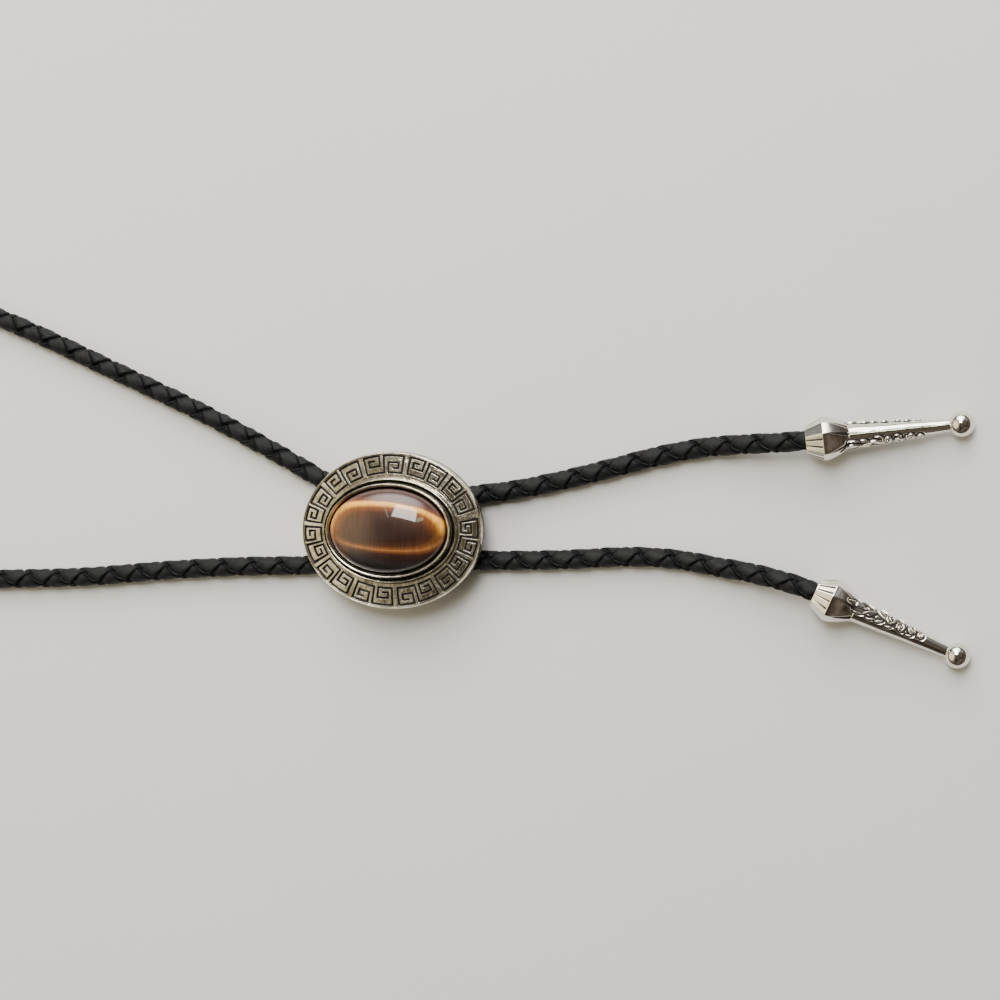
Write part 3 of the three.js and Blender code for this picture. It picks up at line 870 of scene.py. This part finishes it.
def polished_nickel():
    """Bright polished cast metal with dark left between the raised scrolls."""
    colours = settings().colours
    n = Nodes("polished_nickel")
    mottle = n.noise(1700, 4)
    wave = n.noise(190, 1)
    scratch = n.noise(1.0, 3, n.stretched((300, 5200, 5200)), 0.6)
    recess = n.attribute("recess")
    ragged = n.math("ADD", recess, n.math("MULTIPLY", n.math("SUBTRACT", mottle, 0.5), 0.5))
    dark = n.ramp(ragged, [(0.36, 0.0), (0.66, 1.0)])
    n.link(n.mix(dark, tuple(colours.nickel), (0.022, 0.018, 0.014)), n.shader.inputs["Base Color"])
    n.link(n.math("SUBTRACT", 1.0, n.math("MULTIPLY", dark, 0.7)), n.shader.inputs["Metallic"])
    worn = n.math("MULTIPLY_ADD", scratch, 0.10, 0.02)
    n.link(n.math("ADD", n.math("MULTIPLY", dark, 0.35), worn), n.shader.inputs["Roughness"])
    n.bump(n.math("MULTIPLY_ADD", scratch, 0.02, wave), 0.5, 0.00050)
    return n.material


# How much the halves of the golden ring lean, per metre along X, and the powers of its curve,
# where 2, 2 and 0.5 would make an ellipse
LOWER_LEAN = 17.0
UPPER_LEAN = -13.0
RING_POWER_X = 2.6
RING_POWER_Y = 2.2
RING_ROOT = 0.42
# Widths over which the stone's colours change from its lower to its upper half and to its left end
HALVES_BLEND = 8 * MM
LEFT_BLEND = 11 * MM


def banded_stone():
    """Brown silky stone under a polished surface. Its ring of golden bands is painted sheen: the stone's
    chatoyant glow put into its colour, brighter on the upper band. Its upper edge has a painted greyish
    sheen.
    """
    sizes = settings().stone
    colours = settings().colours
    brown = tuple(colours.brown)
    golden_sheen = tuple(colours.golden_sheen)
    edge_sheen = tuple(colours.edge_sheen)
    n = Nodes("banded_stone")
    split = n.add("ShaderNodeSeparateXYZ")
    n.link(n.place(), split.inputs["Vector"])
    x = split.outputs["X"]
    y = split.outputs["Y"]
    fibres = n.noise(1.0, 5, n.stretched((3400, 330, 330)), 0.6)
    streaks = n.noise(1.0, 3, n.stretched((1500, 120, 120)), 0.6)
    drift = n.noise(150, 2)
    sway = n.math("MULTIPLY", n.math("SUBTRACT", drift, 0.5), 0.07)
    wander = n.math("MULTIPLY", n.math("SUBTRACT", fibres, 0.5), 0.06)
    above = n.math("GREATER_THAN", y, 0.0)
    offset = n.math("MULTIPLY_ADD", above, sizes.upper_band - sizes.lower_band, sizes.lower_band)
    # The upper band lies nearer to the middle towards the right, the lower one towards the left
    lean = n.math("MULTIPLY_ADD", above, UPPER_LEAN - LOWER_LEAN, LOWER_LEAN)
    offset = n.math("MULTIPLY", offset, n.math("ADD", n.math("MULTIPLY", x, lean), 1.0))
    ex = n.math("POWER", n.math("ABSOLUTE", n.math("DIVIDE", x, sizes.band_reach)), RING_POWER_X)
    ey = n.math("POWER", n.math("ABSOLUTE", n.math("DIVIDE", y, offset)), RING_POWER_Y)
    ring = n.math("POWER", n.math("ADD", ex, ey), RING_ROOT)
    half = n.math("MULTIPLY", n.math("ADD", ring, n.math("ADD", sway, wander)), 0.5)
    # Upper half: dark brown body, then the bright golden band of painted sheen, then the painted greyish
    # sheen of the upper edge
    upper = n.ramp(half, [
        (0.0, brown), (0.24, (0.032, 0.0105, 0.0055)), (0.34, (0.062, 0.019, 0.0065)),
        (0.42, (0.22, 0.070, 0.012)), (0.465, golden_sheen), (0.492, (1.0, 0.50, 0.085)),
        (0.520, (0.17, 0.058, 0.028)), (0.57, edge_sheen), (0.70, (0.070, 0.034, 0.030)),
        (0.84, (0.045, 0.024, 0.025))])
    # Lower half: dark brown body, then a dimmer golden band of painted sheen, then the darker edge
    lower = n.ramp(half, [
        (0.0, brown), (0.28, (0.024, 0.0085, 0.0050)), (0.39, (0.060, 0.020, 0.0075)),
        (0.460, (0.19, 0.070, 0.020)), (0.488, (0.34, 0.135, 0.042)), (0.520, (0.17, 0.060, 0.020)),
        (0.58, (0.045, 0.0145, 0.0095)), (0.70, (0.022, 0.0115, 0.0105)),
        (0.80, (0.024, 0.019, 0.021)), (0.92, (0.010, 0.0075, 0.008))])
    side = n.ramp(n.math("MULTIPLY_ADD", y, 1 / HALVES_BLEND, 0.5), [(0.34, 0.0), (0.66, 1.0)])
    colour = n.mix(side, lower, upper)
    # Lighter and warmer towards the left end, inside the ring and along it
    left = n.math("MULTIPLY_ADD", x, -1 / LEFT_BLEND, -0.05, clamp=True)
    inner = n.ramp(half, [(0.26, 1.0), (0.46, 0.0)])
    colour = n.mix(n.math("MULTIPLY", n.math("MULTIPLY", left, inner), 0.8), colour, (0.085, 0.036, 0.015))
    outer = n.ramp(half, [(0.40, 0.0), (0.47, 1.0)])
    end = n.math("MULTIPLY", n.ramp(left, [(0.70, 0.0), (1.0, 1.0)]), outer)
    colour = n.mix(n.math("MULTIPLY", end, 0.5), colour, (0.13, 0.050, 0.020))
    shade = n.ramp(n.math("MULTIPLY_ADD", streaks, 0.8, n.math("MULTIPLY", fibres, 0.8)), [
        (0.52, 0.72), (0.80, 1.0), (1.0, 1.30)])
    colour = n.mix(1.0, colour, shade, "MULTIPLY")
    n.link(colour, n.shader.inputs["Base Color"])
    n.set(Roughness=0.42, IOR=1.45, Specular_IOR_Level=0.2)
    n.set(Coat_Weight=1.0, Coat_Roughness=0.012, Coat_IOR=1.52)
    return n.material


def black_leather():
    """Black lace with fine lines along it and creases. Its edges are slightly lighter, partly wear and
    partly painted highlight, with painted shade in a dark line just inside them where the laces meet.
    """
    colours = settings().colours
    n = Nodes("black_leather")
    place = n.add("ShaderNodeAttribute", attribute_name="lace_place").outputs["Vector"]
    lines = n.add("ShaderNodeMapping")
    lines.inputs["Scale"].default_value = (420, 3600, 7)
    n.link(place, lines.inputs["Vector"])
    fibre = n.noise(1.0, 4, lines.outputs["Vector"], 0.65)
    grain = n.noise(2600, 5, None, 0.7)
    crease = n.noise(800, 3)
    edge = n.attribute("edge")
    # Lighter edge line: partly wear, partly a painted highlight where the edge catches the light
    edge_wear_and_highlight = n.math("MULTIPLY", n.math("POWER", edge, 20.0), n.math("ADD", crease, 0.40))
    worn = n.ramp(edge_wear_and_highlight, [(0.40, 0.0), (0.75, 1.0)])
    # Painted shade: a dark, less shiny line just inside each edge, where the laces meet
    seam = n.ramp(edge, [(0.66, 0.0), (0.93, 0.92)])
    faded = n.ramp(n.math("MULTIPLY_ADD", grain, 0.6, fibre), [(0.62, 0.0), (1.05, 1.0)])
    shade = n.mix(faded, tuple(colours.leather), (0.015, 0.0165, 0.0185))
    shade = n.mix(seam, shade, (0.0006, 0.0006, 0.0007))
    n.link(n.mix(worn, shade, (0.060, 0.063, 0.067)), n.shader.inputs["Base Color"])
    n.link(n.math("MULTIPLY_ADD", fibre, 0.25, 0.42), n.shader.inputs["Roughness"])
    n.link(n.math("MULTIPLY_ADD", seam, -0.17, 0.20), n.shader.inputs["Specular IOR Level"])
    height = n.math("MULTIPLY_ADD", fibre, 1.1, n.math("MULTIPLY_ADD", grain, 0.5, crease))
    n.bump(height, 0.8, 0.00016)
    return n.material


# Painted shade: the darker end of the table, towards -Y and +X, as a share of its colour
TABLE_PAINTED_SHADE = 0.77


def pale_table():
    """Pale table top, with painted shade that darkens it towards -Y and +X."""
    n = Nodes("pale_table")
    cloud = n.noise(6, 3)
    split = n.add("ShaderNodeSeparateXYZ")
    n.link(n.place(), split.inputs["Vector"])
    # Painted shade: the fall of the light across the table, lighter towards +Y and -X
    across = n.math("MULTIPLY_ADD", split.outputs["X"], -1.6, 0.4)
    along = n.math("MULTIPLY_ADD", split.outputs["Y"], 2.6, across, clamp=True)
    base = tuple(settings().colours.table)
    shade = n.mix(n.math("MULTIPLY_ADD", cloud, 0.2, along), tuple(c * TABLE_PAINTED_SHADE for c in base), base)
    n.link(shade, n.shader.inputs["Base Color"])
    n.set(Roughness=0.6, Specular_IOR_Level=0.2)
    return n.material


def material(maker):
    """The scene's one copy of a material."""
    name = maker.__name__ + "_finish"
    found = bpy.data.materials.get(name)
    if found is None:
        found = maker()
        found.name = name
    return found


# Stage

CAMERA_PLACE = Vector((150.1, 22.1, 537.4)) * MM
CAMERA_TARGET = Vector((25.05, 7.33, 0.0)) * MM
CAMERA_FIELD = math.radians(25.23)


def add_camera():
    data = bpy.data.cameras.new("camera")
    data.sensor_fit = "HORIZONTAL"
    data.angle = CAMERA_FIELD
    data.clip_start = 0.01
    camera = bpy.data.objects.new("camera", data)
    bpy.context.scene.collection.objects.link(camera)
    back = (CAMERA_PLACE - CAMERA_TARGET).normalized()
    right = Vector((0, 1, 0)).cross(back).normalized()
    up = back.cross(right)
    turn = Matrix((right, up, back)).transposed().to_4x4()
    camera.matrix_world = Matrix.Translation(CAMERA_PLACE) @ turn
    bpy.context.scene.camera = camera


def add_light(name, direction, upward, distance, width, height, power, colour=(1, 1, 1)):
    """Rectangle that shines at the slide from a direction, turned so that its height runs along upward."""
    data = bpy.data.lights.new(name, "AREA")
    data.shape = "RECTANGLE"
    data.size = width
    data.size_y = height
    data.energy = power
    data.color = colour
    light = bpy.data.objects.new(name, data)
    bpy.context.scene.collection.objects.link(light)
    back = Vector(direction).normalized()
    up = Vector(upward)
    up = (up - back * up.dot(back)).normalized()
    turn = Matrix((up.cross(back), up, back)).transposed().to_4x4()
    light.matrix_world = Matrix.Translation(back * distance) @ turn


# Lights. Columns: name, direction from the slide, direction of its height, width and height at
# one metre, watts at one metre, colour
LIGHTS = (
    ("key_light", (0.013, 0.419, 0.907), (0.08, 0.337, -0.173), 0.335, 0.42, 8.0, (1.0, 0.98, 0.955)),
    ("strip_light", (-0.25, 0.430, 0.86), (-0.06, 0.489, -0.297), 0.012, 0.46, 0.07, (1.0, 0.93, 0.82)),
    ("small_light", (0.225, 0.275, 0.93), (-0.20, 0.24, -0.02), 0.21, 0.08, 0.25, (0.80, 1.0, 0.66)),
)
LIGHT_DISTANCE = 1.3
WORLD_STRENGTH = 0.46


def add_world():
    """Soft light from all round: a glow at the back, cream on the left, dark above and in front."""
    world = bpy.data.worlds.new("surroundings")
    bpy.context.scene.world = world
    world.use_nodes = True
    tree = world.node_tree
    way = tree.nodes.new("ShaderNodeTexCoord").outputs["Generated"]

    def facing(direction, low, high):
        """Rises from 0 to 1 as the view turns towards a direction. low and high are cosines."""
        dot = tree.nodes.new("ShaderNodeVectorMath")
        dot.operation = "DOT_PRODUCT"
        dot.inputs[1].default_value = Vector(direction).normalized()
        tree.links.new(way, dot.inputs[0])
        spread = tree.nodes.new("ShaderNodeMapRange")
        spread.interpolation_type = "SMOOTHSTEP"
        spread.inputs["From Min"].default_value = low
        spread.inputs["From Max"].default_value = high
        tree.links.new(dot.outputs["Value"], spread.inputs["Value"])
        return spread.outputs["Result"]

    def times(a, b):
        node = tree.nodes.new("ShaderNodeMath")
        node.operation = "MULTIPLY"
        tree.links.new(a, node.inputs[0])
        tree.links.new(b, node.inputs[1])
        return node.outputs["Value"]

    def mix(factor, a, b):
        node = tree.nodes.new("ShaderNodeMix")
        node.data_type = "RGBA"
        tree.links.new(factor, node.inputs[0])
        for socket, value in ((node.inputs[6], a), (node.inputs[7], b)):
            if isinstance(value, tuple):
                socket.default_value = (*value, 1.0)
            else:
                tree.links.new(value, socket)
        return node.outputs[2]

    patches = tree.nodes.new("ShaderNodeTexNoise")
    patches.inputs["Scale"].default_value = 3.2
    patches.inputs["Detail"].default_value = 2.0
    tree.links.new(way, patches.inputs["Vector"])
    uneven = tree.nodes.new("ShaderNodeMapRange")
    uneven.inputs["From Min"].default_value = 0.38
    uneven.inputs["From Max"].default_value = 0.62
    tree.links.new(patches.outputs["Fac"], uneven.inputs["Value"])
    uneven = uneven.outputs["Result"]
    colour = mix(uneven, (0.20, 0.170, 0.13), (0.52, 0.45, 0.36))
    back = mix(uneven, (0.34, 0.335, 0.33), (1.15, 1.18, 1.24))
    colour = mix(facing((0, 1, 0.25), 0.1, 0.8), colour, back)
    colour = mix(facing((-0.80, -0.05, 0.60), 0.74, 0.97), colour, (3.6, 3.2, 2.2))
    colour = mix(facing((-0.08, 0.86, 0.50), 0.84, 1.0), colour, (19.0, 18.2, 17.2))
    front = times(facing((0, -1, 0), -0.40, -0.28), facing((0.22, 0, 0.97), -0.15, 0.15))
    sides = times(facing((0.974, 0, -0.227), -0.66, -0.32), facing((-0.974, 0, 0.227), -0.93, -0.80))
    dark = mix(uneven, (0.080, 0.066, 0.052), (0.36, 0.30, 0.235))
    colour = mix(times(front, sides), colour, dark)
    colour = mix(facing((0, 0, 1), 0.05, 0.42), (0.20, 0.18, 0.155), colour)
    background = tree.nodes["Background"]
    tree.links.new(colour, background.inputs["Color"])
    background.inputs["Strength"].default_value = WORLD_STRENGTH


# Operators


class BOLO_OT_camera(bpy.types.Operator):
    """Add the camera at the photograph's angle"""

    bl_idname = "bolo.camera"
    bl_label = "Camera"

    def execute(self, context):
        add_camera()
        return {"FINISHED"}


class BOLO_OT_tips(bpy.types.Operator):
    """Add the two cast tips with their facets, scrolls and ball ends"""

    bl_idname = "bolo.tips"
    bl_label = "Tips"

    def execute(self, context):
        grid, recess = tip_points()
        for node in TIP_PLACES:
            points, faces = closed_grid(grid)
            obj = new_object(node + "_cast", points, faces, material(polished_nickel))
            point_attribute(obj, "recess", np.concatenate([recess, [1.0, 0.0]]))
            obj.data.transform(tip_matrix(node))
            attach(obj, "root")
            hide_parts(node)
        return {"FINISHED"}


class BOLO_OT_tail_cords(bpy.types.Operator):
    """Add the braided tails from the clip to the tips"""

    bl_idname = "bolo.tail_cords"
    bl_label = "Tail cords"

    def execute(self, context):
        tails = (
            ("upper_tail", UPPER_TAIL_POINTS, 1, "upper_tip", UPPER_TAIL_FACING),
            ("lower_tail", LOWER_TAIL_POINTS, -1, "lower_tip", LOWER_TAIL_FACING),
        )
        for name, points, side, tip, facing in tails:
            route = tail_route(points, side, tip)
            obj, line = braid(name + "_braid", route, material(black_leather), facing)
            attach(obj, "root")
            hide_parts(name + "_cord")
        return {"FINISHED"}


class BOLO_OT_neck_cord(bpy.types.Operator):
    """Add the braided loop that goes round the neck"""

    bl_idname = "bolo.neck_cord"
    bl_label = "Neck cord"

    def execute(self, context):
        obj, _ = braid("neck_braid", neck_route(), material(black_leather), NECK_FACING)
        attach(obj, "root")
        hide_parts("neck_cord")
        return {"FINISHED"}


class BOLO_OT_slide(bpy.types.Operator):
    """Add the cast plate with its key band, ledge, rings and rim"""

    bl_idname = "bolo.slide"
    bl_label = "Slide plate"

    def execute(self, context):
        grid, patina = plate_points()
        points, faces = closed_grid(grid)
        obj = new_object("slide_plate_cast", points, faces, material(antique_silver))
        point_attribute(obj, "patina", np.concatenate([patina, [1.0, 0.35]]))
        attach(obj, "root")
        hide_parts("slide_plate")
        return {"FINISHED"}


class BOLO_OT_stone(bpy.types.Operator):
    """Add the domed banded stone"""

    bl_idname = "bolo.stone"
    bl_label = "Stone"

    def execute(self, context):
        points, faces = closed_grid(stone_points())
        obj = new_object("stone_cabochon", points, faces, material(banded_stone))
        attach(obj, "root")
        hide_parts("stone")
        return {"FINISHED"}


class BOLO_OT_clip(bpy.types.Operator):
    """Finish the clip behind the plate"""

    bl_idname = "bolo.clip"
    bl_label = "Clip"

    def execute(self, context):
        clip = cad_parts["back_clip"]
        clip.data.materials.clear()
        clip.data.materials.append(material(antique_silver))
        return {"FINISHED"}


class BOLO_OT_stage(bpy.types.Operator):
    """Add the table, the lights and the soft light from all round"""

    bl_idname = "bolo.stage"
    bl_label = "Stage"

    def execute(self, context):
        half = 2.0
        corners = [(-half, -half, 0), (half, -half, 0), (half, half, 0), (-half, half, 0)]
        table = new_object("table", corners, [[0, 1, 2, 3]], material(pale_table))
        for name, direction, upward, width, height, power, colour in LIGHTS:
            far = LIGHT_DISTANCE
            add_light(name, direction, upward, far, width * far, height * far, power * far**2, colour)
        add_world()
        return {"FINISHED"}


STEPS = (
    BOLO_OT_camera, BOLO_OT_tips, BOLO_OT_tail_cords, BOLO_OT_neck_cord,
    BOLO_OT_slide, BOLO_OT_stone, BOLO_OT_clip, BOLO_OT_stage,
)


class BOLO_PT_panel(bpy.types.Panel):
    bl_idname = "BOLO_PT_panel"
    bl_label = "Bolo tie"
    bl_space_type = "VIEW_3D"
    bl_region_type = "UI"
    bl_category = "Bolo tie"

    def draw(self, context):
        for step in STEPS:
            self.layout.operator(step.bl_idname)
        sizes = settings()
        for group in (sizes.slide, sizes.stone, sizes.cord, sizes.tip, sizes.colours):
            box = self.layout.box()
            for name in group.bl_rna.properties.keys():
                if name not in ("rna_type", "name"):
                    box.prop(group, name)


CLASSES = (
    SlideSizes, StoneSizes, CordSizes, TipSizes, Colours, BoloTieSettings, *STEPS, BOLO_PT_panel,
)


def register():
    for cls in CLASSES:
        bpy.utils.register_class(cls)
    bpy.types.Scene.bolo_tie = PointerProperty(type=BoloTieSettings)


def unregister():
    del bpy.types.Scene.bolo_tie
    for cls in reversed(CLASSES):
        bpy.utils.unregister_class(cls)


def main():
    register()
    for step in STEPS:
        category, name = step.bl_idname.split(".")
        getattr(getattr(bpy.ops, category), name)()


if __name__ == "__main__":
    main()
